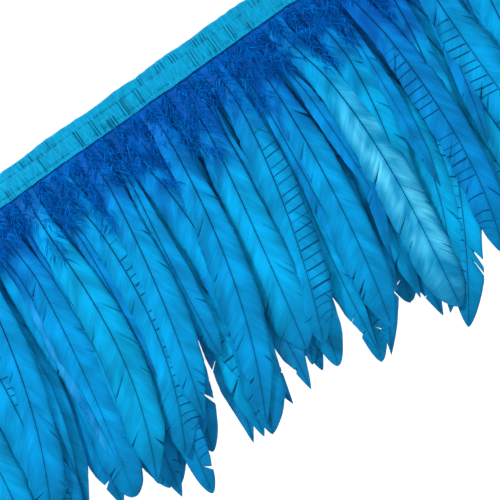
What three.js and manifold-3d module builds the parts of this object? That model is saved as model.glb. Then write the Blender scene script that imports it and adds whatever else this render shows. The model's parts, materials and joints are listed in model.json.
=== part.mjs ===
// A cut length of cock-tail feather trim, hanging from its ribbon.
// A satin ribbon is folded lengthwise over the quill ends of a row of feathers, which are tied to a cord in
// bunches, and two rows of stitches close it over them.
// The ribbon folds back and forth along vertical lines, which part it into sections. Each bunch of feathers
// swings about a line just below the ribbon, where its quills leave it.
// X runs along the ribbon, +Z is up and the front faces -Y. The origin is on the ribbon's flat back face, at
// the middle of its length and of its height. Sizes are in mm.
import * as THREE from "three";
import { mergeVertices } from "three/addons/utils/BufferGeometryUtils.js";
import Module from "manifold-3d";

const wasm = await Module();
wasm.setup();

// Driving dimensions
const SECTIONS = 5;
const BUNCHES_PER_SECTION = 8;
const BUNCH_PITCH = 16;
const FOLD_LIMIT = 60; // degrees, either way, at each fold line
const FOLD_CLEARANCE = 0.04; // between two sections folded to the limit
const CLEARANCE = 0.3; // between soft pieces that touch

const RIBBON_HEIGHT = 25; // from the folded top edge to the open lower edge
const LEAF = 0.5; // one layer of satin
const CORD_DIAMETER = 0.9;
const CORD_RISE = 1.5; // how far the cord lies above the ribbon's middle
const QUILL_DIAMETER = 1;
const QUILL_SPACING = 2.4; // between the two quills of a bunch
const QUILL_PAST_CORD = 2.5; // how far a quill end reaches above the cord

const THREAD_DIAMETER = 0.4;
const UPPER_ROW_INSET = 8.3; // from the folded edge to the upper row of stitches
const LOWER_ROW_INSET = 4.2; // from the open edge to the lower row

const BUNCH_GAP = 1.5; // between two bunches
const LONGEST_DROP = 310; // the longest bunch, below its swing line
const SHORTEST_SHARE = 0.87; // the shortest bunch, as a share of the longest
const NECK_RISE = 0.45; // how far a bunch reaches above its swing line
const NECK_LENGTH = 8; // below the swing line, where the quills are still bare
const FLARE_LENGTH = 62; // over which the vanes grow to their full width
const TIP_LENGTH = 58; // over which they narrow to the tip
const TIP_WIDTH = 3;
const RIDGE_THICKNESS = 1.2; // along the quills, at the neck
const RIDGE_TAPER = 0.35; // the share of it that is lost by the tip
const EDGE_THICKNESS = 0.7;
const CAMBER = 1.4; // how far a bunch's side edges lie behind its ridge
const TURN_CLEARANCE = 0.15; // between the ribbon and a bunch's neck as it swings

const LEAN = 69; // how far the sickle curve carries a full-length tip towards -X
const LEAN_POWER = 1.6;
const BOW = 5; // how far the bunches bow, to the front above and to the back below
const BUNCH_ROWS = 11; // cross-sections of a bunch
const CORD_SIDES = 6; // flat sides of the cord and of each quill end
const THREAD_SIDES = 8;
const FOLD_STEPS = 6; // flat steps round the ribbon's folded edge

// Sizes that follow from them
const SECTION_LENGTH = BUNCHES_PER_SECTION * BUNCH_PITCH;
const RIBBON_THICKNESS = QUILL_DIAMETER + 2 * (CLEARANCE + LEAF);
const MIDDLE = -RIBBON_THICKNESS / 2;
const OPEN_EDGE = -RIBBON_HEIGHT / 2;
const THREAD_Y = -RIBBON_THICKNESS - CLEARANCE - THREAD_DIAMETER / 2;
const THREAD_REACH = MIDDLE - THREAD_Y + THREAD_DIAMETER / 2;
const NECK_REACH = Math.hypot(NECK_RISE, RIDGE_THICKNESS / 2);
const SWING_LINE = OPEN_EDGE - TURN_CLEARANCE - NECK_REACH;

const SATIN = new THREE.MeshStandardMaterial({ color: 0x09a5d6, roughness: 0.35, metalness: 0 });
const COTTON = new THREE.MeshStandardMaterial({ color: 0x1c6fb8, roughness: 0.9, metalness: 0 });
const THREAD = new THREE.MeshStandardMaterial({ color: 0x0a86c2, roughness: 0.6, metalness: 0 });
const FEATHER = new THREE.MeshStandardMaterial({ color: 0x0b8fd0, roughness: 0.5, metalness: 0 });

// Turns a shape drawn as depth and height, and extruded, so that it runs along X.
const ALONG_X = new THREE.Matrix4().makeBasis(
  new THREE.Vector3(0, 1, 0),
  new THREE.Vector3(0, 0, 1),
  new THREE.Vector3(1, 0, 0),
);

function solidOf(geometry) {
  const bare = geometry.clone();
  bare.deleteAttribute("normal");
  bare.deleteAttribute("uv");
  const merged = mergeVertices(bare);
  return new wasm.Manifold(
    new wasm.Mesh({
      numProp: 3,
      vertProperties: merged.attributes.position.array,
      triVerts: new Uint32Array(merged.index.array),
    }),
  );
}

function geometryOf(solid) {
  const { vertProperties, triVerts } = solid.getMesh();
  const geometry = new THREE.BufferGeometry();
  geometry.setAttribute("position", new THREE.BufferAttribute(vertProperties, 3));
  geometry.setIndex(new THREE.BufferAttribute(triVerts, 1));
  geometry.computeVertexNormals();
  return geometry;
}

function part(name, geometry, material, x = 0, y = 0, z = 0) {
  const mesh = new THREE.Mesh(geometry, material);
  mesh.name = name;
  mesh.position.set(x, y, z);
  return mesh;
}

// The length of a piece of one section that reaches so far in front of or behind the fold lines, short
// enough that two of them still clear each other when the ribbon is folded to its limit.
function lengthInSection(reach) {
  const endGap = reach * Math.tan(THREE.MathUtils.degToRad(FOLD_LIMIT / 2)) + FOLD_CLEARANCE;
  return SECTION_LENGTH - 2 * endGap;
}

// The satin ribbon of a section: a back leaf, the folded top edge and a front leaf.
function ribbonGeometry() {
  const outer = RIBBON_THICKNESS / 2;
  const foldStart = RIBBON_HEIGHT / 2 - outer;
  const section = new THREE.Shape();
  section.moveTo(0, OPEN_EDGE);
  section.lineTo(0, foldStart);
  section.absarc(MIDDLE, foldStart, outer, 0, Math.PI, false);
  section.lineTo(-RIBBON_THICKNESS, OPEN_EDGE);
  section.lineTo(LEAF - RIBBON_THICKNESS, OPEN_EDGE);
  section.lineTo(LEAF - RIBBON_THICKNESS, foldStart);
  section.absarc(MIDDLE, foldStart, outer - LEAF, Math.PI, 0, true);
  section.lineTo(-LEAF, OPEN_EDGE);
  const length = lengthInSection(outer);
  const geometry = new THREE.ExtrudeGeometry(section, {
    depth: length,
    bevelEnabled: false,
    curveSegments: FOLD_STEPS,
  });
  return geometry.translate(0, 0, -length / 2).applyMatrix4(ALONG_X);
}

// Where a bunch is tied on, from the middle of its section.
function bunchX(index) {
  return (index - (BUNCHES_PER_SECTION - 1) / 2) * BUNCH_PITCH;
}

// The cord of a section, with the quill ends of its bunches tied across it.
function quillRowGeometry() {
  const length = lengthInSection(CORD_DIAMETER / 2);
  const cordRadius = CORD_DIAMETER / 2;
  const quillRadius = QUILL_DIAMETER / 2;
  const cord = new THREE.CylinderGeometry(cordRadius, cordRadius, length, CORD_SIDES);
  let row = solidOf(cord.rotateZ(Math.PI / 2).translate(0, MIDDLE, CORD_RISE));
  const quillLength = CORD_RISE + QUILL_PAST_CORD - OPEN_EDGE;
  for (let index = 0; index < BUNCHES_PER_SECTION; index += 1) {
    for (const side of [-1, 1]) {
      const quill = new THREE.CylinderGeometry(quillRadius, quillRadius, quillLength, CORD_SIDES);
      const x = bunchX(index) + (side * QUILL_SPACING) / 2;
      quill.rotateX(Math.PI / 2).translate(x, MIDDLE, OPEN_EDGE + quillLength / 2);
      row = row.add(solidOf(quill));
    }
  }
  return geometryOf(row);
}

// One row of stitches of a section, on the front leaf.
function stitchRowGeometry() {
  const length = lengthInSection(THREAD_REACH);
  const radius = THREAD_DIAMETER / 2;
  const thread = new THREE.CylinderGeometry(radius, radius, length, THREAD_SIDES);
  return thread.rotateZ(Math.PI / 2);
}

// The line that every bunch follows, at a distance below its swing line. All bunches share it, whatever
// their length, so that they lie side by side without touching.
function ridgeX(distance) {
  return -LEAN * Math.max(0, distance / LONGEST_DROP) ** LEAN_POWER;
}

function ridgeY(distance) {
  return -BOW * Math.sin((2 * Math.PI * distance) / LONGEST_DROP);
}

function halfWidth(distance, drop) {
  const neck = (QUILL_SPACING + QUILL_DIAMETER) / 2;
  const full = (BUNCH_PITCH - BUNCH_GAP) / 2;
  const flare = THREE.MathUtils.smoothstep(distance, NECK_LENGTH, NECK_LENGTH + FLARE_LENGTH);
  const intoTip = Math.max(0, (distance - (drop - TIP_LENGTH)) / TIP_LENGTH);
  const rounded = Math.sqrt(Math.max(0, 1 - intoTip ** 2));
  return Math.max((neck + (full - neck) * flare) * rounded, TIP_WIDTH / 2);
}

// A bunch: a box with one row of faces on each side of its ridge, drawn out along that line. Its neck stays
// within NECK_REACH of the swing line, so that it turns clear of the ribbon.
function bunchGeometry(drop) {
  const full = (BUNCH_PITCH - BUNCH_GAP) / 2;
  const geometry = new THREE.BoxGeometry(2, 2, BUNCH_ROWS, 2, 1, BUNCH_ROWS);
  const position = geometry.getAttribute("position");
  for (let i = 0; i < position.count; i += 1) {
    const across = Math.round(position.getX(i));
    const face = Math.sign(position.getY(i));
    const row = Math.round(BUNCH_ROWS / 2 - position.getZ(i));
    const distance = row === 0 ? -NECK_RISE : (drop * (row - 1)) / (BUNCH_ROWS - 1);
    const share = Math.max(0, distance / drop);
    const width = halfWidth(distance, drop);
    const ridge = RIDGE_THICKNESS * (1 - RIDGE_TAPER * share);
    const thickness = across === 0 || row < 2 ? ridge : EDGE_THICKNESS;
    const behind = row < 2 ? 0 : CAMBER * Math.abs(across) * (width / full) ** 2;
    const y = row === 0 ? 0 : ridgeY(distance);
    position.setXYZ(i, ridgeX(distance) + across * width, y + behind + (face * thickness) / 2, -distance);
  }
  geometry.computeVertexNormals();
  return geometry;
}

// Bunches vary from the longest to the shortest in a fixed, uneven order.
function bunchDrop(number) {
  const golden = (1 + Math.sqrt(5)) / 2;
  return LONGEST_DROP * (1 - (1 - SHORTEST_SHARE) * ((number * golden) % 1));
}

function ribbonSection(order) {
  const section = new THREE.Group();
  const sectionNumber = order + 1;
  const upperZ = RIBBON_HEIGHT / 2 - UPPER_ROW_INSET;
  const lowerZ = OPEN_EDGE + LOWER_ROW_INSET;
  section.position.x = (order - (SECTIONS - 1) / 2) * SECTION_LENGTH;
  section.add(part(`ribbon_${sectionNumber}`, ribbonGeometry(), SATIN));
  section.add(part(`quill_row_${sectionNumber}`, quillRowGeometry(), COTTON));
  section.add(part(`upper_stitches_${sectionNumber}`, stitchRowGeometry(), THREAD, 0, THREAD_Y, upperZ));
  section.add(part(`lower_stitches_${sectionNumber}`, stitchRowGeometry(), THREAD, 0, THREAD_Y, lowerZ));
  for (let index = 0; index < BUNCHES_PER_SECTION; index += 1) {
    const bunchNumber = order * BUNCHES_PER_SECTION + index + 1;
    const bunchName = `feather_bunch_${String(bunchNumber).padStart(2, "0")}`;
    const geometry = bunchGeometry(bunchDrop(bunchNumber));
    section.add(part(bunchName, geometry, FEATHER, bunchX(index), MIDDLE, SWING_LINE));
  }
  return section;
}

const trim = new THREE.Group();
for (let order = 0; order < SECTIONS; order += 1) {
  trim.add(ribbonSection(order));
}

export default trim;
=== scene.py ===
import json
import math

import bmesh
import bpy
import numpy as np
from bpy.props import FloatProperty, FloatVectorProperty, IntProperty, PointerProperty
from mathutils import Matrix, Vector

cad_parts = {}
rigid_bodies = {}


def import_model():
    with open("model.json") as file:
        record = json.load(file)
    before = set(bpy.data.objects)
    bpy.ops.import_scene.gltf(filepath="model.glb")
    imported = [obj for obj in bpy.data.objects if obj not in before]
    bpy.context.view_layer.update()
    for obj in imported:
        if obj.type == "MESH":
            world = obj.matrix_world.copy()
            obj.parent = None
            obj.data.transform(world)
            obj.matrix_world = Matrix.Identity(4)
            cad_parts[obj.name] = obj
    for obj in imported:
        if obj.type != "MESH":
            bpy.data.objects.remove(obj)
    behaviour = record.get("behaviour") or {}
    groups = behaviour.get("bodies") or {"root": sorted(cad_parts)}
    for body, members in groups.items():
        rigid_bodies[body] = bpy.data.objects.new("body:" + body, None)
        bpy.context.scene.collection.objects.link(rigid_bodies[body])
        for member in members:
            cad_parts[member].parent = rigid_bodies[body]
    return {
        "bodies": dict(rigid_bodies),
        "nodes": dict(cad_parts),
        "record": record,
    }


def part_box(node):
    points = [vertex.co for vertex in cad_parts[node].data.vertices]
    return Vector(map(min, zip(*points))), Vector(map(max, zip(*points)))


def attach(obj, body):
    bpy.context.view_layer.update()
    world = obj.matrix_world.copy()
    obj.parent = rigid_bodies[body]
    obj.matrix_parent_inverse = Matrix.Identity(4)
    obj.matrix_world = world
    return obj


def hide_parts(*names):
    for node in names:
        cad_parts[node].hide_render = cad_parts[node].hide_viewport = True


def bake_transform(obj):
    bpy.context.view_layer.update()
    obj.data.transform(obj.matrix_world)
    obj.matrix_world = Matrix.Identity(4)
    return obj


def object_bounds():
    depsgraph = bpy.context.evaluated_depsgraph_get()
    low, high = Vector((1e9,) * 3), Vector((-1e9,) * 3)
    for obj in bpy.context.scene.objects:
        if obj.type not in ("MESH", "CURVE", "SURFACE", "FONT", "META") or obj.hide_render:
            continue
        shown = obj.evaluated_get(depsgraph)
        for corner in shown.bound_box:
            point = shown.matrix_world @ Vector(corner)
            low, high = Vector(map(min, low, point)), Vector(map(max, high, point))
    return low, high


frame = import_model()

bl_info = {
    "name": "Feather Trim",
    "version": (1, 0, 0),
    "blender": (4, 5, 0),
    "location": "View3D > Sidebar > Feather Trim",
    "description": "Dresses a cut of cock-tail feather trim: feathers, down, satin ribbon and stitches",
    "category": "Add Mesh",
}

MM = 0.001

CAD_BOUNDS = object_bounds()
JOINTS = sorted(frame["record"]["behaviour"]["joints"], key=lambda joint: joint["name"])
SWINGS = [joint for joint in JOINTS if joint["name"].startswith("swing")]
FOLDS = [joint for joint in JOINTS if joint["name"].startswith("fold")]
SECTIONS = sorted(name for name in frame["bodies"] if name.startswith("section"))
RIBBON_LOW, RIBBON_HIGH = (Vector(corner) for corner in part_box("ribbon_3"))
MIDDLE_Y = (RIBBON_LOW.y + RIBBON_HIGH.y) / 2
OPEN_EDGE = RIBBON_LOW.z
FOLDED_EDGE = RIBBON_HIGH.z
LONGEST_DROP = OPEN_EDGE - CAD_BOUNDS[0][2]
BUNCH_PITCH = 16 * MM


# Numbers and curves


RIPPLE_VALUES = 1024  # how many random values a ripple has before it repeats


def linear(red, green, blue):
    """A colour given in the screen's 0 to 255, as the linear colour that a shader takes."""
    share = [channel / 255 for channel in (red, green, blue)]
    return [c / 12.92 if c <= 0.04045 else ((c + 0.055) / 1.055) ** 2.4 for c in share] + [1.0]


def ease(low, high, value):
    """0 below low, 1 above high and smooth between them."""
    share = np.clip((np.asarray(value, float) - low) / (high - low), 0, 1)
    return share * share * (3 - 2 * share)


def ripple(place, spacing, seed):
    """Smooth noise from -1 to 1 along a line, with one random value at each spacing."""
    table = np.random.default_rng(seed).uniform(-1, 1, RIPPLE_VALUES)
    at = np.asarray(place, float) / spacing
    whole = np.floor(at).astype(int)
    share = ease(0, 1, at - whole)
    return table[whole % RIPPLE_VALUES] * (1 - share) + table[(whole + 1) % RIPPLE_VALUES] * share


def bell(place, middle, width):
    """1 in the middle, falling away to both sides."""
    return np.exp(-(((place - middle) / width) ** 2))


# Sizes and colours that a user may change


class TrimSizes(bpy.types.PropertyGroup):
    """Sizes of the feathers, the down and the ribbon."""

    vane_width: FloatProperty(
        name="Vane width", description="Width of a front feather", default=33 * MM, unit="LENGTH"
    )
    vane_thickness: FloatProperty(
        name="Vane thickness", description="Thickness of a vane", default=0.26 * MM, unit="LENGTH"
    )
    lean: FloatProperty(
        name="Sickle", description="How far the longest tip leans towards -X", default=69 * MM,
        unit="LENGTH",
    )
    lean_power: FloatProperty(
        name="Sickle power", description="How late the feathers start to lean", default=1.9
    )
    bow: FloatProperty(
        name="Bow", description="How far the feathers bow to the front", default=3.4 * MM, unit="LENGTH"
    )
    flex: FloatProperty(
        name="Flex", description="Length over which a quill bends out of the ribbon", default=9 * MM,
        unit="LENGTH",
    )
    down_hairs: IntProperty(name="Down", description="Filaments of down on a bunch", default=400)
    leaf: FloatProperty(
        name="Satin", description="Thickness of the ribbon's satin", default=0.3 * MM, unit="LENGTH"
    )
    crease: FloatProperty(
        name="Crease", description="Width over which the ribbon bends at a fold line", default=5 * MM,
        unit="LENGTH",
    )
    stitch_pitch: FloatProperty(
        name="Stitch pitch", description="Distance from stitch to stitch", default=3.2 * MM, unit="LENGTH"
    )


def dye(name, description, red, green, blue):
    """A colour that the user may change, given in the screen's 0 to 255."""
    return FloatVectorProperty(
        name=name, description=description, subtype="COLOR", size=4, default=linear(red, green, blue)
    )


class TrimColours(bpy.types.PropertyGroup):
    """Colours of the dyed feathers, the ribbon and the stage."""

    vane: dye("Vane", "A vane's middle", 0, 152, 208)
    vane_deep: dye("Deep vane", "The more darkly dyed feathers", 0, 112, 188)
    # Painted highlight: the pale sheen that is painted along the webs of some feathers.
    vane_painted_sheen: dye("Pale vane", "The palest sheen", 84, 186, 214)
    root: dye("Root", "A vane's downy root", 0, 80, 168)
    tip: dye("Tip", "A vane's tip", 0, 100, 148)
    quill: dye("Quill", "Quills, shafts and the cord that they are tied to", 0, 54, 98)
    down: dye("Down", "The down under the ribbon", 0, 88, 178)
    down_light: dye("Light down", "The down's paler curls", 0, 118, 204)
    satin: dye("Satin", "The ribbon", 0, 146, 193)
    thread: dye("Thread", "The stitches", 0, 120, 168)
    stage: dye("Floor", "The floor", 255, 255, 255)


# Materials


def add_node(tree, kind, values=None, **settings):
    """A shader node, with settings on the node and values or links on its inputs."""
    made = tree.nodes.new(kind)
    for key, setting in settings.items():
        setattr(made, key, setting)
    for key, value in (values or {}).items():
        if isinstance(value, bpy.types.NodeSocket):
            tree.links.new(value, made.inputs[key])
        else:
            made.inputs[key].default_value = value
    return made


def maths(tree, operation, *values, clamp=False):
    made = add_node(tree, "ShaderNodeMath", dict(enumerate(values)), operation=operation, use_clamp=clamp)
    return made.outputs[0]


def product(tree, first, *others):
    """The product of several numbers."""
    for other in others:
        first = maths(tree, "MULTIPLY", first, other)
    return first


def scaled_colour(tree, colour, by):
    return add_node(tree, "ShaderNodeVectorMath", {0: colour, "Scale": by}, operation="SCALE").outputs[0]


def noise(tree, place, scale, detail):
    values = {"Vector": place, "Scale": scale, "Detail": detail}
    return add_node(tree, "ShaderNodeTexNoise", values).outputs[0]


def blend_colours(tree, share, first, second):
    made = tree.nodes.new("ShaderNodeMix")
    made.data_type = "RGBA"
    for socket, value in ((made.inputs[0], share), (made.inputs[6], first), (made.inputs[7], second)):
        if isinstance(value, bpy.types.NodeSocket):
            tree.links.new(value, socket)
        else:
            socket.default_value = value
    return made.outputs[2]


def ranged(tree, value, low, high, start=0.0, end=1.0):
    """value from low to high, as a number from start to end."""
    values = {"Value": value, "From Min": low, "From Max": high, "To Min": start, "To Max": end}
    return add_node(tree, "ShaderNodeMapRange", values, interpolation_type="SMOOTHSTEP").outputs[0]


def new_group(name, inputs, outputs):
    group = bpy.data.node_groups.new(name, "ShaderNodeTree")
    for label, kind, default in inputs:
        socket = group.interface.new_socket(label, in_out="INPUT", socket_type=kind)
        if default is not None:
            socket.default_value = default
    for label, kind in outputs:
        group.interface.new_socket(label, in_out="OUTPUT", socket_type=kind)
    return group, group.nodes.new("NodeGroupInput").outputs, group.nodes.new("NodeGroupOutput").inputs


def barb_group():
    """Streaks and ridges along barbs. Its vector holds centimetres across and along a feather."""
    inputs = [("Barbs", "NodeSocketVector", None), ("Ridges per cm", "NodeSocketFloat", 11.0)]
    outputs = [("Streak", "NodeSocketFloat"), ("Height", "NodeSocketFloat")]
    tree, given, out = new_group("Barb streaks", inputs, outputs)
    parts = add_node(tree, "ShaderNodeSeparateXYZ", {0: given["Barbs"]})
    shifted = maths(tree, "MULTIPLY_ADD", noise(tree, given["Barbs"], 1.4, 2.0), 0.22, parts.outputs[1])
    # The streaks are long across the vane, as the barbs are, and fine along it.
    across = maths(tree, "MULTIPLY", parts.outputs[0], 0.55)
    fine = maths(tree, "MULTIPLY", shifted, 9.0)
    place = add_node(tree, "ShaderNodeCombineXYZ", {0: across, 1: fine, 2: parts.outputs[2]}).outputs[0]
    streak = noise(tree, place, 1.0, 3.0)
    turns = product(tree, shifted, given["Ridges per cm"], math.tau)
    ridge = maths(tree, "MULTIPLY_ADD", maths(tree, "SINE", turns), 0.5, 0.5)
    height = maths(tree, "MULTIPLY_ADD", ridge, 0.3, streak)
    tree.links.new(streak, out["Streak"])
    tree.links.new(height, out["Height"])
    return tree


def weave_group():
    """The crossed threads of a cloth, with a little unevenness. Its vector holds metres."""
    inputs = [("Place", "NodeSocketVector", None), ("Threads per m", "NodeSocketFloat", 2500.0)]
    outputs = [("Height", "NodeSocketFloat"), ("Shade", "NodeSocketFloat")]
    tree, given, out = new_group("Weave", inputs, outputs)
    parts = add_node(tree, "ShaderNodeSeparateXYZ", {0: given["Place"]})
    turns = maths(tree, "MULTIPLY", given["Threads per m"], math.tau)
    warp = maths(tree, "SINE", maths(tree, "MULTIPLY", parts.outputs[0], turns))
    weft = maths(tree, "SINE", maths(tree, "MULTIPLY", parts.outputs[2], turns))
    height = maths(tree, "MULTIPLY_ADD", maths(tree, "MULTIPLY", warp, weft), 0.5, 0.5)
    stretch = {0: given["Place"], 1: (700, 260, 160)}
    stretched = add_node(tree, "ShaderNodeVectorMath", stretch, operation="MULTIPLY").outputs[0]
    tree.links.new(height, out["Height"])
    tree.links.new(noise(tree, stretched, 1.0, 4.0), out["Shade"])
    return tree


def new_material(name, roughness, specular):
    material = bpy.data.materials.new(name)
    material.use_nodes = True
    tree = material.node_tree
    shader = tree.nodes["Principled BSDF"]
    shader.inputs["Roughness"].default_value = roughness
    shader.inputs["Specular IOR Level"].default_value = specular
    return material, tree, shader


def add_bump(tree, shader, height, strength, distance):
    bump = add_node(tree, "ShaderNodeBump", {"Height": height, "Strength": strength, "Distance": distance})
    tree.links.new(bump.outputs[0], shader.inputs["Normal"])


def vane_colour(tree, colours, read, streak, cloud, outer):
    """A vane's colour: dark at its root and tip and streaked along its barbs, with a painted highlight on
    some feathers and painted shade towards the edges of its webs.
    """
    colour = blend_colours(tree, read["tint"], list(colours.vane_deep), list(colours.vane))
    rooted = maths(tree, "MULTIPLY_ADD", cloud, 0.26, maths(tree, "SUBTRACT", read["share"], read["dark"]))
    grown = ranged(tree, rooted, -0.02, 0.34)
    colour = blend_colours(tree, grown, list(colours.root), colour)
    tipped = maths(tree, "MULTIPLY_ADD", cloud, 0.2, read["share"])
    colour = blend_colours(tree, ranged(tree, tipped, 0.84, 1.1, 0, 0.85), colour, list(colours.tip))
    # Painted highlight: a pale sheen painted along the middle of the feather, which fades at its shaft,
    # edges and ends.
    painted_sheen = product(
        tree,
        read["pale"],
        ranged(tree, streak, 0.25, 0.75, 0.45, 1.0),
        maths(tree, "MULTIPLY", grown, ranged(tree, cloud, 0.25, 0.7)),
        ranged(tree, read["share"], 0.2, 0.45),
        ranged(tree, read["share"], 0.68, 0.98, 1.0, 0.15),
        ranged(tree, outer, 0.02, 0.5, 0.45, 1.0),
        ranged(tree, outer, 0.9, 1.8, 1.0, 0.2),
    )
    colour = blend_colours(tree, painted_sheen, colour, list(colours.vane_painted_sheen))
    # Painted shade: the webs darken towards their outer edges, where neighbours overlap them, and are a
    # little darker next to the shaft. The streaks and the cloud are the vane's own uneven tone.
    light = product(
        tree,
        ranged(tree, streak, 0.25, 0.75, 0.88, 1.1),
        ranged(tree, cloud, 0.22, 0.78, 0.68, 1.24),
        ranged(tree, outer, 0.7, 1.9, 1.04, 0.74),
        ranged(tree, outer, 0.0, 0.3, 0.86, 1.0),
    )
    return scaled_colour(tree, colour, light)


def vane_bars(tree, read, place, cloud, outer, seed):
    """Thin dark bars across one web of some feathers, uneven in their spacing, length and strength."""
    bars_per_cm, barb_slant = 1.25, 1.3
    along = maths(tree, "MULTIPLY_ADD", outer, barb_slant, place.outputs[1])
    spot = add_node(tree, "ShaderNodeCombineXYZ", {1: along, 2: seed}).outputs[0]
    along = maths(tree, "MULTIPLY_ADD", noise(tree, spot, 0.9, 1.0), 0.6, along)
    along = maths(tree, "MULTIPLY_ADD", cloud, 0.12, along)
    rungs = maths(tree, "MULTIPLY", along, bars_per_cm)
    rung = maths(tree, "ABSOLUTE", maths(tree, "SUBTRACT", maths(tree, "FRACT", rungs), 0.5))
    bar = maths(tree, "SUBTRACT", 1.0, ranged(tree, rung, 0.05, 0.105))
    # Each bar of each feather has its own chance of being left out.
    each = maths(tree, "ROUND", maths(tree, "MULTIPLY", read["tint"], 211.0))
    whole = add_node(tree, "ShaderNodeCombineXYZ", {0: maths(tree, "FLOOR", rungs), 1: each}).outputs[0]
    chance = add_node(tree, "ShaderNodeTexWhiteNoise", {"Vector": whole}, noise_dimensions="2D").outputs[0]
    sided = maths(tree, "MULTIPLY", place.outputs[0], read["barred"])
    bar = product(tree, bar, ranged(tree, chance, 0.1, 0.35), ranged(tree, sided, 0.04, 0.16))
    bar = maths(tree, "MULTIPLY", bar, ranged(tree, read["share"], 0.22, 0.34), clamp=True)
    before_tip = maths(tree, "SUBTRACT", 1.0, ranged(tree, read["share"], 0.86, 0.97))
    return maths(tree, "MULTIPLY", bar, before_tip)


def vane_material(colours, streaks):
    """A dyed vane and its shaft."""
    material, tree, shader = new_material("Dyed feather", 0.62, 0.05)
    barbs = add_node(tree, "ShaderNodeUVMap", uv_map="Barbs").outputs[0]
    read = {
        name: add_node(tree, "ShaderNodeAttribute", attribute_name=name).outputs["Fac"]
        for name in ("share", "tint", "barred", "pale", "shaft", "dark")
    }
    place = add_node(tree, "ShaderNodeSeparateXYZ", {0: barbs})
    outer = maths(tree, "ABSOLUTE", place.outputs[0])
    seed = maths(tree, "MULTIPLY", read["tint"], 37.0)
    seeded = {0: place.outputs[0], 1: place.outputs[1], 2: seed}
    seeded = add_node(tree, "ShaderNodeCombineXYZ", seeded).outputs[0]
    streak, height = add_node(tree, "ShaderNodeGroup", {"Barbs": seeded}, node_tree=streaks).outputs
    cloud = noise(tree, seeded, 0.5, 2.0)
    colour = vane_colour(tree, colours, read, streak, cloud, outer)
    bar = vane_bars(tree, read, place, cloud, outer, seed)
    dark = maths(tree, "MAXIMUM", maths(tree, "MULTIPLY", bar, 0.9), read["shaft"])
    tree.links.new(blend_colours(tree, dark, colour, list(colours.quill)), shader.inputs["Base Color"])
    rough = ranged(tree, streak, 0.3, 0.7, 0.7, 0.5)
    tree.links.new(maths(tree, "MULTIPLY_ADD", read["shaft"], -0.12, rough), shader.inputs["Roughness"])
    add_bump(tree, shader, maths(tree, "MULTIPLY_ADD", bar, -0.6, height), 0.22, 0.3 * MM)
    return material


def down_material(colours):
    """Down, a little darker and lighter from place to place and from curl to curl."""
    material, tree, shader = new_material("Dyed down", 0.9, 0.02)
    tint = add_node(tree, "ShaderNodeAttribute", attribute_name="tint").outputs["Fac"]
    cloud = noise(tree, add_node(tree, "ShaderNodeTexCoord").outputs["Object"], 90.0, 3.0)
    share = maths(tree, "MULTIPLY", tint, ranged(tree, cloud, 0.35, 0.65, 0.3, 0.9))
    colour = blend_colours(tree, share, list(colours.down), list(colours.down_light))
    colour = scaled_colour(tree, colour, ranged(tree, cloud, 0.3, 0.7, 0.82, 1.2))
    tree.links.new(colour, shader.inputs["Base Color"])
    return material


def cloth_material(name, colour, weave, threads, roughness, strength, gloss):
    """Woven or spun cloth: its weave, uneven shade, painted shade where its crease attribute marks folds,
    and a silky or a dull surface.
    """
    material, tree, shader = new_material(name, roughness, gloss)
    place = add_node(tree, "ShaderNodeTexCoord").outputs["Object"]
    cloth = add_node(tree, "ShaderNodeGroup", node_tree=weave)
    tree.links.new(place, cloth.inputs["Place"])
    cloth.inputs["Threads per m"].default_value = threads
    crease = add_node(tree, "ShaderNodeAttribute", attribute_name="crease").outputs["Fac"]
    light = ranged(tree, cloth.outputs["Shade"], 0.3, 0.7, 0.8, 1.12)
    # Painted shade: darker where the crease attribute marks the satin's dimples, tucks and folded edge.
    light = maths(tree, "MULTIPLY", light, ranged(tree, crease, 0.05, 0.9, 1.0, 0.27))
    tree.links.new(scaled_colour(tree, tuple(colour)[:3], light), shader.inputs["Base Color"])
    rough = ranged(tree, cloth.outputs["Shade"], 0.3, 0.7, roughness + 0.08, roughness - 0.06)
    tree.links.new(rough, shader.inputs["Roughness"])
    height = maths(tree, "MULTIPLY_ADD", cloth.outputs["Shade"], 0.8, cloth.outputs["Height"])
    add_bump(tree, shader, height, strength, 0.12 * MM)
    return material


def material_named(name):
    """One of the trim's materials, which are all made the first time that one is asked for."""
    if name not in bpy.data.materials:
        colours = bpy.context.scene.trim_colours
        weave = weave_group()
        vane_material(colours, barb_group())
        down_material(colours)
        cloth_material("Satin", colours.satin, weave, 2600.0, 0.46, 0.4, 0.07)
        cloth_material("Thread", colours.thread, weave, 1500.0, 0.7, 0.6, 0.05)
        cloth_material("Cotton cord", colours.quill, weave, 900.0, 0.85, 0.8, 0.1)
    return bpy.data.materials[name]


# Mesh helpers


def new_piece(name, bm, *materials):
    mesh = bpy.data.meshes.new(name)
    bm.to_mesh(mesh)
    bm.free()
    mesh.shade_smooth()
    for material in materials:
        mesh.materials.append(material_named(material))
    piece = bpy.data.objects.new(name, mesh)
    bpy.context.scene.collection.objects.link(piece)
    return piece


def set_values(mesh, name, values):
    """A number on each vertex, under a name that the materials read."""
    layer = mesh.attributes.get(name) or mesh.attributes.new(name, "FLOAT", "POINT")
    layer.data.foreach_set("value", np.broadcast_to(values, len(mesh.vertices)).astype(np.float32))


def places(mesh):
    out = np.empty(len(mesh.vertices) * 3)
    mesh.vertices.foreach_get("co", out)
    return out.reshape(-1, 3)


def place_vertices(mesh, points):
    mesh.vertices.foreach_set("co", np.asarray(points, float).ravel())
    mesh.update()


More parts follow.
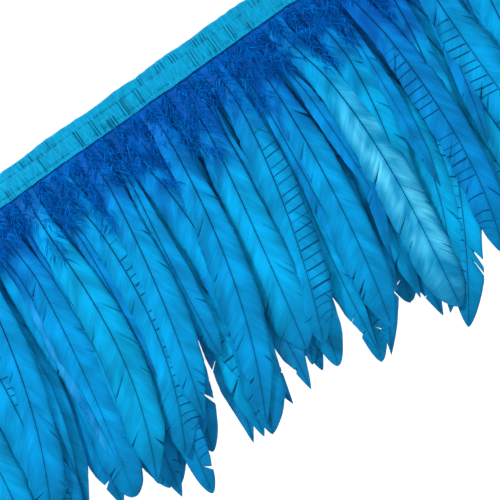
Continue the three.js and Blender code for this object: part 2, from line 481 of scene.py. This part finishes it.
def tube_template(name, sides, steps):
    """A closed tube of radius 1 from z 0 to z 1, to be drawn out along a line later."""
    if name in bpy.data.meshes:
        return bpy.data.meshes[name]
    bm = bmesh.new()
    bmesh.ops.create_circle(bm, segments=sides, radius=1)
    bmesh.ops.spin(
        bm, geom=bm.edges[:], cent=(0, 0, 0), axis=(0, 0, 1), dvec=(0, 0, 1 / steps), angle=0, steps=steps
    )
    bmesh.ops.holes_fill(bm, edges=[e for e in bm.edges if e.is_boundary], sides=sides)
    bmesh.ops.recalc_face_normals(bm, faces=bm.faces[:])
    mesh = bpy.data.meshes.new(name)
    bm.to_mesh(mesh)
    bm.free()
    return mesh


# Feathers

COLUMNS, ROWS = 12, 104  # of faces across and along a vane
ROW_POWER = 1.45  # how much closer together the rows are towards the tip
SHAFT_SIDES, SHAFT_STEPS = 6, 60
SHAFT_RADIUS = 0.5 * MM  # at the root of a feather of TYPICAL_HALF_WIDTH
SHAFT_PROUD = 0.12 * MM
TYPICAL_HALF_WIDTH = 13 * MM
SETTLED_BY = 70 * MM  # how far below the ribbon a feather has its whole yaw and sway
FANNED_BY = 34 * MM  # how far below the ribbon it has its whole depth
SWAY_TURN = 5  # radians of sway along the longest feather
HOOK_POWER = 4  # how much of a feather's hook is at its tip
CLUMPING = 0.045  # how much neighbouring bunches yaw together
ROOM_AT_LEFT = 72 * MM  # how far the first bunch's tip may reach towards -X
YAW_PER_BUNCH = 0.03  # how much more the next bunch from the right end may yaw

# What sets the kinds of feather apart. Lengths are shares of the bunch's length, widths are shares of the
# vane's width, and neighbours take turns at the depths, in mm behind the ribbon's middle. "lead" is a broad
# front feather.
USUAL = {
    "length": (0.86, 1.0), "width": (0.85, 1.08), "yaw": (-0.06, 0.09), "shift": 0.0, "clefts": 6,
    "neck": 0.52, "pointed": 0.5, "barred": 0.0, "deeper": 0.0, "dark": 0.0,
}
FRONT = {"seed": 1000, "shift": -1.2 * MM, "depths": (-3.2, -1.2, 0.6), "width": (0.8, 1.0), "barred": 0.26}
LEAD = {"depths": (-8.4, -6.2), "width": (1.04, 1.26), "yaw": (-0.06, 0.14), "clefts": 7, "barred": 0.42}
BACK = {"seed": 2000, "shift": 1.2 * MM, "depths": (3.0, 5.4, 7.8), "length": (0.82, 1.0)}
FILLER = {"seed": 3000, "depths": (-4.6,), "length": (0.6, 0.94), "width": (0.5, 0.8), "clefts": 3}
KINDS = {
    "front": {**USUAL, **FRONT},
    "lead": {**USUAL, **FRONT, **LEAD},
    "back": {**USUAL, **BACK, "barred": 0.2, "deeper": 0.1},
    "filler": {**USUAL, **FILLER, "neck": 0.2, "pointed": 0.9, "deeper": 0.5, "dark": 0.08},
    "inner": {**USUAL, "seed": 5000, "depths": (1.8, 4.2), "neck": 0.74, "deeper": 0.35},
}
# The front feather of this bunch gets the strongest painted highlight.
HIGHLIGHT_BUNCH = 28


def line_points(feather, along):
    """The shaft's points at distances below the ribbon."""
    sizes = bpy.context.scene.trim_sizes
    along = np.asarray(along, float)
    share = np.clip(along / LONGEST_DROP, 0, None)
    settled = ease(0, SETTLED_BY, along)
    fanned = ease(0, FANNED_BY, along)
    x = feather["x"] - feather["lean"] * sizes.lean * share ** (sizes.lean_power * feather["lateness"])
    x = x + feather["yaw"] * along * settled
    x = x + feather["sway"] * np.sin(share * SWAY_TURN + feather["phase"]) * settled
    x = x + feather["hook"] * share**HOOK_POWER
    bow = feather["bow"] * sizes.bow * np.sin(math.tau * share)
    y = MIDDLE_Y - bow + feather["depth"] * fanned
    return np.stack([x, y, OPEN_EDGE - along + 0 * x], -1)


def line_frame(feather, along):
    """Points, directions to +X and directions to the front, with the feather's roll about its shaft."""
    step = 0.5 * MM
    tangent = line_points(feather, along + step) - line_points(feather, along - step)
    tangent /= np.linalg.norm(tangent, axis=-1, keepdims=True)
    side = np.cross([0, -1, 0], tangent)
    side /= np.linalg.norm(side, axis=-1, keepdims=True)
    front = np.cross(tangent, side)
    roll = (feather["roll"] + feather["twist"] * along / LONGEST_DROP) * ease(8 * MM, 45 * MM, along)
    cosine, sine = np.cos(roll)[..., None], np.sin(roll)[..., None]
    return line_points(feather, along), side * cosine + front * sine, front * cosine - side * sine


def half_width(feather, along):
    length = feather["length"]
    grown = feather["neck"] + (1 - feather["neck"]) * ease(0, feather["opening"], along)
    into_tip = np.clip((along - (length - feather["tip_length"])) / feather["tip_length"], 0, 1)
    return feather["half_width"] * grown * (1 - into_tip**2) ** feather["tip_power"]


def row_share(share):
    """How far along the vane a row lies. The rows are closer together towards the tip."""
    return 1 - (1 - share) ** ROW_POWER


def vane_bmesh(feather):
    """A flat vane with its clefts cut, in shares: x from -1 to 1 across and y from -1 to 1 along."""
    bm = bmesh.new()
    bmesh.ops.create_grid(bm, x_segments=COLUMNS, y_segments=ROWS, size=1)
    cuts = {cleft["row"]: [] for cleft in feather["clefts"]}
    for edge in bm.edges:
        a, b = edge.verts
        if abs(a.co.y - b.co.y) < 1e-4:
            row = round((a.co.y + 1) / 2 * ROWS)
            for cleft in feather["clefts"]:
                middle = (a.co.x + b.co.x) / 2 * cleft["side"]
                if cleft["row"] == row and middle > cleft["start"]:
                    cuts[row].append(edge)
    bmesh.ops.split_edges(bm, edges=[edge for row in cuts.values() for edge in row])
    # Which way a vertex on a cut belongs: towards the tip or towards the root.
    for vertex in bm.verts:
        row = round((vertex.co.y + 1) / 2 * ROWS)
        if row in cuts:
            reach = sum(face.calc_center_median().y for face in vertex.link_faces)
            vertex.co.z = np.sign(reach / len(vertex.link_faces) - vertex.co.y)
    return bm


def shape_vane(feather, shares):
    """World places, barb coordinates in cm and shares along, of vertices as vane_bmesh leaves them."""
    seed = feather["seed"]
    across = shares[:, 0]
    outward = np.abs(across)
    share = row_share((shares[:, 1] + 1) / 2)
    start = feather["bare"]
    along = start + share * (feather["length"] - start)
    web = np.where(across > 0, feather["right_web"], feather["left_web"])
    width = half_width(feather, along) * web
    # The edges are uneven: finely so towards the root, and in slow waves all along.
    fine = 0.07 * ripple(along + 5 * seed, 3.1 * MM, seed) * ease(0.7, 1, outward) * (1 - share)
    frayed = 1 + fine + 0.05 * ripple(along, 17 * MM, seed + 1) * outward
    lateral = outward * width * frayed
    sweep = feather["sweep"] * (1 - 0.8 * ease(0.78, 1.0, share)) * ease(0, 60 * MM, along)
    swept = along + lateral * sweep
    lift = np.zeros_like(along)
    for cleft in feather["clefts"]:
        at = start + row_share(cleft["row"] / ROWS) * (feather["length"] - start)
        away = along - at
        towards = np.where(np.abs(away) < 1e-6, shares[:, 2], np.sign(away))
        opened = (across * cleft["side"] - cleft["start"]) / (1 - cleft["start"])
        opened = np.clip(opened, 0, 1) ** 1.25
        fade = np.exp(-np.abs(away) / cleft["reach"])
        swept += towards * opened * fade * cleft["open"] / 2
        lateral -= opened * fade * cleft["open"] * 0.25
        lift += towards * opened * fade * cleft["lift"]
    point, side, front = line_frame(feather, swept)
    free = ease(0, 22 * MM, along)
    curl = feather["camber"] * lateral * outward**0.8 * free
    edge = ripple(along, 26 * MM, seed) * 0.8 * MM * outward**2 * free
    rise = lift - curl + edge * np.where(across > 0, 1, -0.8)
    moved = point + side * (np.sign(across) * lateral)[:, None] + front * rise[:, None]
    return moved, np.sign(across) * lateral * 100, along * 100, share


def shape_shaft(feather, ring):
    """World places of the shaft's vertices, given as on the tube template."""
    end = feather["length"] * 0.985
    along = ring[:, 2] * (end - feather["bare"]) + feather["bare"]
    thickness = 0.55 + 0.45 * feather["half_width"] / TYPICAL_HALF_WIDTH
    radius = SHAFT_RADIUS * (1 - 0.78 * ring[:, 2]) * thickness
    point, side, front = line_frame(feather, along)
    proud = ring[:, 1] * radius + SHAFT_PROUD
    return point + side * (ring[:, 0] * radius)[:, None] + front * proud[:, None]


def make_feather(name, feather):
    sizes = bpy.context.scene.trim_sizes
    bm = vane_bmesh(feather)
    shares = np.array([vertex.co for vertex in bm.verts])
    moved, lateral, along, share = shape_vane(feather, shares)
    map_layer = bm.loops.layers.uv.new("Barbs")
    share_layer = bm.verts.layers.float.new("share")
    shaft_layer = bm.verts.layers.float.new("shaft")
    for vertex, place, value in zip(bm.verts, moved, share):
        vertex.co = place
        vertex[share_layer] = value
    bm.verts.index_update()
    for face in bm.faces:
        for loop in face.loops:
            index = loop.vert.index
            loop[map_layer].uv = (lateral[index], along[index])
    bmesh.ops.recalc_face_normals(bm, faces=bm.faces[:])
    bmesh.ops.solidify(bm, geom=bm.faces[:], thickness=sizes.vane_thickness)
    vane_vertices = len(bm.verts)
    bm.from_mesh(tube_template("Shaft template", SHAFT_SIDES, SHAFT_STEPS))
    bm.verts.ensure_lookup_table()
    shaft = bm.verts[vane_vertices:]
    for vertex, place in zip(shaft, shape_shaft(feather, np.array([v.co for v in shaft]))):
        vertex.co = place
        vertex[shaft_layer] = 1
    bmesh.ops.recalc_face_normals(bm, faces=bm.faces[:])
    piece = new_piece(name, bm, "Dyed feather")
    for key in ("tint", "barred", "pale", "dark"):
        set_values(piece.data, key, feather[key])
    return piece


def clefts_of(rng, count):
    """Where a vane's webs are split, and how far each split is open."""
    rows = rng.choice(np.arange(int(0.2 * ROWS), int(0.85 * ROWS), 3), count, replace=False)
    return [
        {
            "row": int(row),
            "side": float(rng.choice([-1, 1])),
            "start": float(rng.uniform(0.05, 0.6)),
            "open": float(rng.uniform(0.3, 1) ** 2 * (5.0 if row > 0.66 * ROWS else 3.0) * MM),
            "lift": float(rng.uniform(-0.8, 0.8) * MM),
            "reach": float(rng.uniform(9, 26) * MM),
        }
        for row in rows
    ]


def feather_plan(base, number, swing):
    """The sizes of one feather: a front, a back, a filling or an inner one."""
    sizes = bpy.context.scene.trim_sizes
    kind = KINDS["lead" if base == "front" and number % 2 == 0 else base]
    rng = np.random.default_rng(kind["seed"] + number)
    drop = OPEN_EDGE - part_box(f"feather_bunch_{number:02d}")[0][2]
    length = drop * rng.uniform(*kind["length"])
    width = rng.uniform(*kind["width"])
    yaw = CLUMPING * float(ripple(number, 2.3, 21)) + rng.uniform(*kind["yaw"])
    lean = rng.uniform(0.5, 1.4)
    if kind is KINDS["front"] and number % 3 == 0:  # it crosses its neighbours
        yaw += 0.11
        lean *= 0.5
    # The tips at the two ends keep inside the trim's own length.
    yaw = min(yaw, (len(SWINGS) - number + 1) * YAW_PER_BUNCH)
    room = ROOM_AT_LEFT + BUNCH_PITCH * (number - 1)
    if lean * sizes.lean - yaw * length > room:
        lean = (room + yaw * length) / sizes.lean
    pointed = rng.random() < kind["pointed"]
    barred = rng.random() < kind["barred"]
    return {
        "seed": kind["seed"] + number,
        "x": swing["pos_m"][0] + kind["shift"],
        "length": length,
        "half_width": sizes.vane_width / 2 * width,
        "left_web": rng.uniform(0.9, 1.12),
        "right_web": rng.uniform(0.8, 1.02),
        "lean": lean,
        "yaw": yaw,
        "lateness": rng.uniform(0.75, 1.35),
        "sway": rng.uniform(-1, 1) * 6.5 * MM,
        "phase": rng.uniform(0, math.tau),
        "bow": rng.uniform(0.6, 1.1),
        "depth": kind["depths"][number // 2 % len(kind["depths"])] * MM,
        "roll": math.radians(rng.uniform(-2, 5)),
        "twist": math.radians(rng.uniform(-9, 9) * (2.4 if rng.random() < 0.3 else 1)),
        "bare": -rng.uniform(2.2, 3.0) * MM,
        "opening": rng.uniform(90, 170) * MM,
        "neck": kind["neck"],
        "tip_length": rng.uniform(85, 125) * MM if pointed else rng.uniform(55, 90) * MM,
        "tip_power": rng.uniform(0.8, 1.05) if pointed else rng.uniform(0.52, 0.75),
        "sweep": rng.uniform(1.0, 1.35),
        "camber": rng.uniform(0.08, 0.2),
        "clefts": clefts_of(rng, kind["clefts"]),
        "tint": float(np.clip(rng.normal(0.78, 0.27) - kind["deeper"], 0.04, 1)),
        # Negative bars lie on the other web.
        "barred": float(barred) * (-1.0 if rng.random() < 0.72 else 1.0),
        # pale is the strength of the painted highlight on the feather's webs.
        "pale": 0.95 if base == "front" and number == HIGHLIGHT_BUNCH else float(rng.random() < 0.06) * 0.22,
        "dark": rng.uniform(0.08, 0.25) + kind["dark"],
        "hook": rng.uniform(-1, 1) * 18 * MM,
    }


def bind_to_bunch(piece, number):
    """The piece stands for the bunch's plain solid, which is hidden, and its placing is applied to its
    mesh.
    """
    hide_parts(f"feather_bunch_{number:02d}")
    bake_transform(piece)


class TRIM_OT_feathers(bpy.types.Operator):
    """Add the feathers of every bunch: a front one, a back one and, by turns, a shorter or an inner one"""

    bl_idname = "trim.feathers"
    bl_label = "Feathers"

    def execute(self, context):
        for number, swing in enumerate(SWINGS, 1):
            kinds = ["front", "back", "filler" if number % 2 else "inner"]
            for kind in kinds:
                piece = make_feather(f"{kind}_feather_{number:02d}", feather_plan(kind, number, swing))
                bind_to_bunch(piece, number)
        return {"FINISHED"}


# Down

FILAMENT_SIDES, FILAMENT_STEPS = 3, 6
TUFT_SHARE = 0.45  # how many of the filaments are flat tufts
FRONT_SHARE = 0.6  # how many lie over the front of the vanes
TUFT_THICKNESS, CURL_THICKNESS = 0.12 * MM, 0.14 * MM


def down_roots(rng, number, swing, count):
    """Where a bunch's filaments grow, each one's frame, and whether it faces the front or the back."""
    reach = rng.uniform(26, 74) * MM
    along = (rng.uniform(0, 1, count) ** 1.5) * reach + 0.5 * MM
    line = feather_plan("front", number, swing)
    line["depth"] = line["yaw"] = 0
    root, side, front = line_frame(line, along)
    facing = np.where(rng.uniform(0, 1, count) < FRONT_SHARE, 1.0, -1.0)
    depth = np.where(facing > 0, rng.uniform(5.5, 9.6, count), -rng.uniform(3.0, 9.0, count)) * MM
    depth = depth * ease(-7 * MM, 30 * MM, along)
    aside = rng.uniform(-1, 1, count) * (1.8 * MM + 5.5 * MM * ease(0, 26 * MM, along))
    root = root + side * aside[:, None]
    root[:, 1] -= depth
    return root, side, front, facing


def make_down(number, swing):
    """Soft curling filaments and flat tufts around a bunch's quills, densest under the ribbon."""
    sizes = bpy.context.scene.trim_sizes
    rng = np.random.default_rng(4000 + number)
    count = sizes.down_hairs
    template = tube_template("Filament template", FILAMENT_SIDES, FILAMENT_STEPS)
    bm = bmesh.new()
    for _ in range(count):
        bm.from_mesh(template)
    piece = new_piece(f"down_{number:02d}", bm, "Dyed down")
    rings = places(piece.data).reshape(count, -1, 3)
    root, side, front, facing = down_roots(rng, number, swing, count)
    hand = rng.choice([-1.0, 1.0], count)
    tuft = rng.uniform(0, 1, count) < TUFT_SHARE
    length = rng.uniform(9, 27, count) * MM
    spread = hand * rng.uniform(0.1, 1.0, count)
    fall = rng.uniform(0.62, 1.0, count)
    curl = rng.uniform(-1, 1, count)
    phase = rng.uniform(0, math.tau, count)
    t = rings[:, :, 2]
    wave = np.sin(t * 5 + phase[:, None]) * t
    outward = spread[:, None] * np.sin(t * 1.8) * 0.46 + 0.07 * curl[:, None] * wave
    ahead = 0.03 * wave * np.roll(curl, 1)[:, None] + 0.03 * facing[:, None] * np.sin(t * math.pi)
    down = fall[:, None] * (0.6 * t + 0.4 * t**2) + 0.03 * wave
    centre = root[:, None, :] + length[:, None, None] * (
        side[:, None, :] * outward[..., None] + front[:, None, :] * ahead[..., None]
        + np.array([0, 0, -1.0]) * down[..., None]
    )
    taper = (np.sin(np.clip(t * 1.15 + 0.28, 0, 1) * math.pi) * 0.9 + 0.1) * (1 - 0.6 * t)
    broad = np.where(tuft, rng.uniform(0.4, 0.85, count), rng.uniform(0.12, 0.2, count)) * MM
    thick = np.where(tuft, TUFT_THICKNESS, CURL_THICKNESS)
    ring = side[:, None, :] * (rings[..., 0] * broad[:, None] * taper)[..., None]
    ring = ring + front[:, None, :] * (rings[..., 1] * thick[:, None] * taper)[..., None]
    centre[..., 2] = np.minimum(centre[..., 2], OPEN_EDGE - 0.3 * MM)
    place_vertices(piece.data, centre + ring)
    set_values(piece.data, "tint", np.repeat(rng.uniform(0, 1, count) ** 1.5, rings.shape[1]))
    return piece


class TRIM_OT_down(bpy.types.Operator):
    """Add the down at the root of every bunch"""

    bl_idname = "trim.down"
    bl_label = "Down"

    def execute(self, context):
        for number, swing in enumerate(SWINGS, 1):
            bind_to_bunch(make_down(number, swing), number)
        return {"FINISHED"}


# Ribbon

RIBBON_STEP = 0.64 * MM
RIBBON_ROWS = 72
PUFF = 0.2 * MM  # between the two rows of stitches
PUCKER = 0.3 * MM  # at the stitches
PINCH = 0.16 * MM  # under the stitches
BACK_FIRMNESS = 0.3  # the back leaf lies flatter, against what it is sewn to


def stitch_heights():
    """The heights of the two rows of stitches."""
    return [sum(corner[2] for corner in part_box(f"{row}_stitches_3")) / 2 for row in ("upper", "lower")]


def tucks():
    """Small tucks that the stitching leaves, as (place along, low end, high end, depth)."""
    rng = np.random.default_rng(77)
    upper, lower = stitch_heights()
    reaches = [(upper - 1 * MM, upper + 6 * MM), (lower - 3 * MM, upper), (OPEN_EDGE, lower + 5 * MM)]
    out = []
    x = RIBBON_LOW.x * len(SECTIONS)
    while x < -RIBBON_LOW.x * len(SECTIONS):
        x += rng.uniform(4, 18) * MM
        low, high = reaches[rng.choice(3, p=[0.5, 0.3, 0.2])]
        for turn in range(rng.integers(1, 4)):
            out.append((x + turn * rng.uniform(2.2, 3.4) * MM, low, high, rng.uniform(0.5, 1.0) * MM))
    return out


def shape_ribbon(x, share, leaf):
    """Places on the satin: from the back leaf's open edge, over the fold, to the front leaf's open edge."""
    back, front = RIBBON_HIGH.y - leaf / 2, RIBBON_LOW.y + leaf / 2
    bend = (back - front) / 2
    straight = FOLDED_EDGE - leaf / 2 - bend - OPEN_EDGE
    total = 2 * straight + math.pi * bend
    run = share * total
    angle = np.clip((run - straight) / bend, 0, math.pi)
    down = np.clip(run - straight - math.pi * bend, 0, None)
    z = OPEN_EDGE + np.minimum(run, straight) + bend * np.sin(angle) - down
    y = (back + front) / 2 + bend * np.cos(angle)
    outward = -np.cos(angle)  # -1 on the back leaf and 1 on the front one
    upper, lower = stitch_heights()
    puff = PUFF * np.sin((z - lower) / (upper - lower) * math.pi) * (z > lower) * (z < upper)
    near = np.exp(-np.abs(z - upper) / (2.6 * MM)) + np.exp(-np.abs(z - lower) / (2.6 * MM))
    pucker = PUCKER * near * ripple(x + 0.5 * MM * ripple(z, 3 * MM, 4), 2.1 * MM, 5)
    pucker = pucker + 0.16 * MM * ripple(x + z * 0.3, 6.1 * MM, 6)
    pinch = -PINCH * (bell(z, upper, 0.7 * MM) + bell(z, lower, 0.7 * MM))
    out = puff + pucker + pinch
    # Painted shade: darker in the dimples of the puckers, along the folded edge and in the grooves of the
    # tucks.
    shade = 0.45 * np.clip(-pucker / PUCKER, 0, 1) + 0.35 * bell(z, FOLDED_EDGE, 0.8 * MM)
    for at, low, high, depth in tucks():
        inside = ease(low - 0.8 * MM, low + 0.8 * MM, z) * (1 - ease(high - 0.8 * MM, high + 0.8 * MM, z))
        groove = bell(x, at, 0.6 * MM)
        ridge = bell(x, at + 1.5 * MM, 1.0 * MM)
        out = out + inside * (0.65 * depth * ridge - depth * groove)
        shade = np.maximum(shade, inside * groove * depth / (1.0 * MM))
    y = y - out * outward * np.where(outward < 0, BACK_FIRMNESS, 1.0)
    # The folded edge and the open edge are both a little wavy.
    wavy = (0.8 * ripple(x, 24 * MM, 8) + 0.3 * ripple(x, 5 * MM, 10)) * MM
    z = z + wavy * ease(2 * MM, FOLDED_EDGE, z)
    wavy = (0.6 * ripple(x, 19 * MM, 9) + 0.25 * ripple(x, 5 * MM, 11)) * MM
    z = z + wavy * (1 - ease(OPEN_EDGE, -4 * MM, z))
    return np.stack([x, y, z], -1), total, shade


def make_ribbon(name, start, end, nodes):
    """One length of the folded satin, which stands for the given nodes."""
    sizes = bpy.context.scene.trim_sizes
    bm = bmesh.new()
    columns = round((end - start) / RIBBON_STEP)
    bmesh.ops.create_grid(bm, x_segments=columns, y_segments=RIBBON_ROWS, size=1)
    shares = np.array([vertex.co for vertex in bm.verts])
    x = start + (shares[:, 0] + 1) / 2 * (end - start)
    moved, total, shade = shape_ribbon(x, (shares[:, 1] + 1) / 2, sizes.leaf)
    # The crease attribute carries the satin's painted shade.
    painted_shade_layer = bm.verts.layers.float.new("crease")
    for vertex, place, dark in zip(bm.verts, moved, shade):
        vertex.co = place
        vertex[painted_shade_layer] = dark
    bmesh.ops.recalc_face_normals(bm, faces=bm.faces[:])
    bmesh.ops.solidify(bm, geom=bm.faces[:], thickness=sizes.leaf)
    bmesh.ops.recalc_face_normals(bm, faces=bm.faces[:])
    piece = new_piece(name, bm, "Satin")
    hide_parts(*nodes)
    return piece


class TRIM_OT_ribbon(bpy.types.Operator):
    """Add the folded satin ribbon, from the middle of each section to the middle of the next"""

    bl_idname = "trim.ribbon"
    bl_label = "Satin ribbon"

    def execute(self, context):
        middles = [(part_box(f"ribbon_{k}")[0][0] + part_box(f"ribbon_{k}")[1][0]) / 2 for k in range(1, 6)]
        left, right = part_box("ribbon_1")[0][0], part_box("ribbon_5")[1][0]
        piece = make_ribbon("ribbon_left_end", left, middles[0], ["ribbon_1"])
        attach(piece, SECTIONS[0])
        for k, joint in enumerate(FOLDS):
            nodes = [f"ribbon_{k + 1}", f"ribbon_{k + 2}"]
            piece = make_ribbon(f"ribbon_fold_{k + 1}", middles[k], middles[k + 1], nodes)
            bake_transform(piece)
        piece = make_ribbon("ribbon_right_end", middles[-1], right, ["ribbon_5"])
        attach(piece, SECTIONS[-1])
        return {"FINISHED"}


# Stitches

STITCH_FILL = 0.42  # half a stitch's length, as a share of the stitch pitch
STITCH_HALF_DEPTH, STITCH_HALF_HEIGHT = 0.2 * MM, 0.24 * MM
STITCH_TILT = 5  # degrees


def make_stitches(row, section):
    """A row of single stitches on both faces of one section's ribbon."""
    sizes = bpy.context.scene.trim_sizes
    low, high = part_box(f"{row}_stitches_{section}")
    z = (low[2] + high[2]) / 2
    count = int((high[0] - low[0]) / sizes.stitch_pitch)
    pitch = (high[0] - low[0]) / count
    rng = np.random.default_rng(600 + section * 2 + (row == "upper"))
    bm = bmesh.new()
    for face_y, proud in ((RIBBON_LOW.y, -0.02 * MM), (RIBBON_HIGH.y, -0.08 * MM)):
        for index in range(count):
            x = low[0] + (index + 0.5) * pitch
            made = bmesh.ops.create_uvsphere(bm, u_segments=8, v_segments=6, radius=1)["verts"]
            turn = Matrix.Rotation(math.radians(rng.uniform(-STITCH_TILT, STITCH_TILT)), 4, "Y")
            shape = Matrix.Diagonal((pitch * STITCH_FILL, STITCH_HALF_DEPTH, STITCH_HALF_HEIGHT, 1))
            place = Matrix.Translation((x, face_y + proud, z + rng.uniform(-0.12, 0.12) * MM))
            bmesh.ops.transform(bm, matrix=place @ turn @ shape, verts=made)
    piece = new_piece(f"{row}_stitch_row_{section}", bm, "Thread")
    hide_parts(f"{row}_stitches_{section}")
    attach(piece, SECTIONS[section - 1])
    return piece


class TRIM_OT_stitches(bpy.types.Operator):
    """Add the two rows of stitches, on the front and on the back of the ribbon"""

    bl_idname = "trim.stitches"
    bl_label = "Stitches"

    def execute(self, context):
        for section in range(1, len(SECTIONS) + 1):
            for row in ("upper", "lower"):
                make_stitches(row, section)
        return {"FINISHED"}


class TRIM_OT_quill_rows(bpy.types.Operator):
    """Give the cord and the quill ends inside the ribbon their material"""

    bl_idname = "trim.quill_rows"
    bl_label = "Cord and quill ends"

    def execute(self, context):
        for section in range(1, len(SECTIONS) + 1):
            node = frame["nodes"][f"quill_row_{section}"]
            for slot in node.material_slots:
                slot.link = "OBJECT"
                slot.material = material_named("Cotton cord")
        return {"FINISHED"}


# Stage

AMBIENT = 0.315
BACKGROUND = 1.02
FLOOR_GAP = 0.16
FLOOR_GLOW = 0.86
FLOOR_SHADE = 0.3
FLOOR_HALF = 6.0
AIM = (0, 0, -0.15)
LIGHTS = [  # name, place, what it faces, size and power
    ("Key", (-0.6, -0.85, 1.15), AIM, 0.35, 26),
    ("Fill", (1.2, -1.2, 0.2), AIM, 1.2, 3),
    ("Side", (1.8, 0.3, 0.3), AIM, 1.0, 11),
    ("Back", (0.3, 1.3, 0.9), AIM, 1.0, 6),
    ("Overhead", (0, 1.0, 1.8), (0, 1.0, 0), 2.4, 24),
]
CAMERA_ROLL = math.radians(35.07)
CAMERA_PLACE = (-7.6 * MM, -1.0 + MIDDLE_Y, -163.2 * MM)
CAMERA_LENS, CAMERA_SENSOR, CAMERA_NEAR = 85, 36, 0.01


def add_light(name, place, aim, size, power):
    light = bpy.data.lights.new(name, "AREA")
    light.shape = "DISK"
    light.size = size
    light.energy = power
    holder = bpy.data.objects.new(name, light)
    holder.location = place
    holder.rotation_euler = (Vector(aim) - Vector(place)).to_track_quat("-Z", "Y").to_euler()
    bpy.context.scene.collection.objects.link(holder)


class TRIM_OT_stage(bpy.types.Operator):
    """Add the pale floor, the soft light and the camera"""

    bl_idname = "trim.stage"
    bl_label = "Stage"

    def execute(self, context):
        scene = context.scene
        scene.view_settings.view_transform = "Standard"
        bm = bmesh.new()
        bmesh.ops.create_grid(bm, x_segments=1, y_segments=1, size=FLOOR_HALF)
        bmesh.ops.translate(bm, verts=bm.verts[:], vec=(0, 0, CAD_BOUNDS[0][2] - FLOOR_GAP))
        mesh = bpy.data.meshes.new("floor")
        bm.to_mesh(mesh)
        bm.free()
        material, _, shader = new_material("Pale floor", 0.9, 0.0)
        white = list(scene.trim_colours.stage)
        shader.inputs["Base Color"].default_value = [FLOOR_SHADE * value for value in white[:3]] + [1]
        shader.inputs["Emission Color"].default_value = white
        shader.inputs["Emission Strength"].default_value = FLOOR_GLOW
        mesh.materials.append(material)
        floor = bpy.data.objects.new("floor", mesh)
        scene.collection.objects.link(floor)

        world = bpy.data.worlds.new("Studio")
        world.use_nodes = True
        # A white background to the eye, and a dimmer soft light from all round.
        tree = world.node_tree
        seen = add_node(tree, "ShaderNodeLightPath").outputs["Is Camera Ray"]
        strength = maths(tree, "MULTIPLY_ADD", seen, BACKGROUND - AMBIENT, AMBIENT)
        tree.nodes["Background"].inputs[0].default_value = (1, 1, 1, 1)
        tree.links.new(strength, tree.nodes["Background"].inputs[1])
        scene.world = world
        for settings in LIGHTS:
            add_light(*settings)

        # The camera faces the front and is rolled, so that the ribbon climbs to the upper right.
        right = Vector((math.cos(CAMERA_ROLL), 0, -math.sin(CAMERA_ROLL)))
        up = Vector((math.sin(CAMERA_ROLL), 0, math.cos(CAMERA_ROLL)))
        back = Vector((0, -1, 0))
        data = bpy.data.cameras.new("Camera")
        data.lens = CAMERA_LENS
        data.sensor_width = CAMERA_SENSOR
        data.clip_start = CAMERA_NEAR
        camera = bpy.data.objects.new("Camera", data)
        turn = Matrix((right, up, back)).transposed().to_4x4()
        camera.matrix_world = Matrix.Translation(CAMERA_PLACE) @ turn
        scene.collection.objects.link(camera)
        scene.camera = camera
        return {"FINISHED"}


STEPS = [
    TRIM_OT_feathers, TRIM_OT_down, TRIM_OT_ribbon, TRIM_OT_stitches, TRIM_OT_quill_rows, TRIM_OT_stage
]


class TRIM_PT_panel(bpy.types.Panel):
    """The steps and settings of the trim"""

    bl_idname = "TRIM_PT_panel"
    bl_label = "Feather Trim"
    bl_space_type = "VIEW_3D"
    bl_region_type = "UI"
    bl_category = "Feather Trim"

    def draw(self, context):
        for step in STEPS:
            self.layout.operator(step.bl_idname)
        for group in (context.scene.trim_sizes, context.scene.trim_colours):
            for name in group.__annotations__:
                self.layout.prop(group, name)


CLASSES = [TrimSizes, TrimColours, *STEPS, TRIM_PT_panel]


def register():
    for each in CLASSES:
        bpy.utils.register_class(each)
    bpy.types.Scene.trim_sizes = PointerProperty(type=TrimSizes)
    bpy.types.Scene.trim_colours = PointerProperty(type=TrimColours)


def unregister():
    del bpy.types.Scene.trim_colours
    del bpy.types.Scene.trim_sizes
    for each in reversed(CLASSES):
        bpy.utils.unregister_class(each)


def main():
    register()
    bpy.ops.trim.feathers()
    bpy.ops.trim.down()
    bpy.ops.trim.ribbon()
    bpy.ops.trim.stitches()
    bpy.ops.trim.quill_rows()
    bpy.ops.trim.stage()


if __name__ == "__main__":
    main()
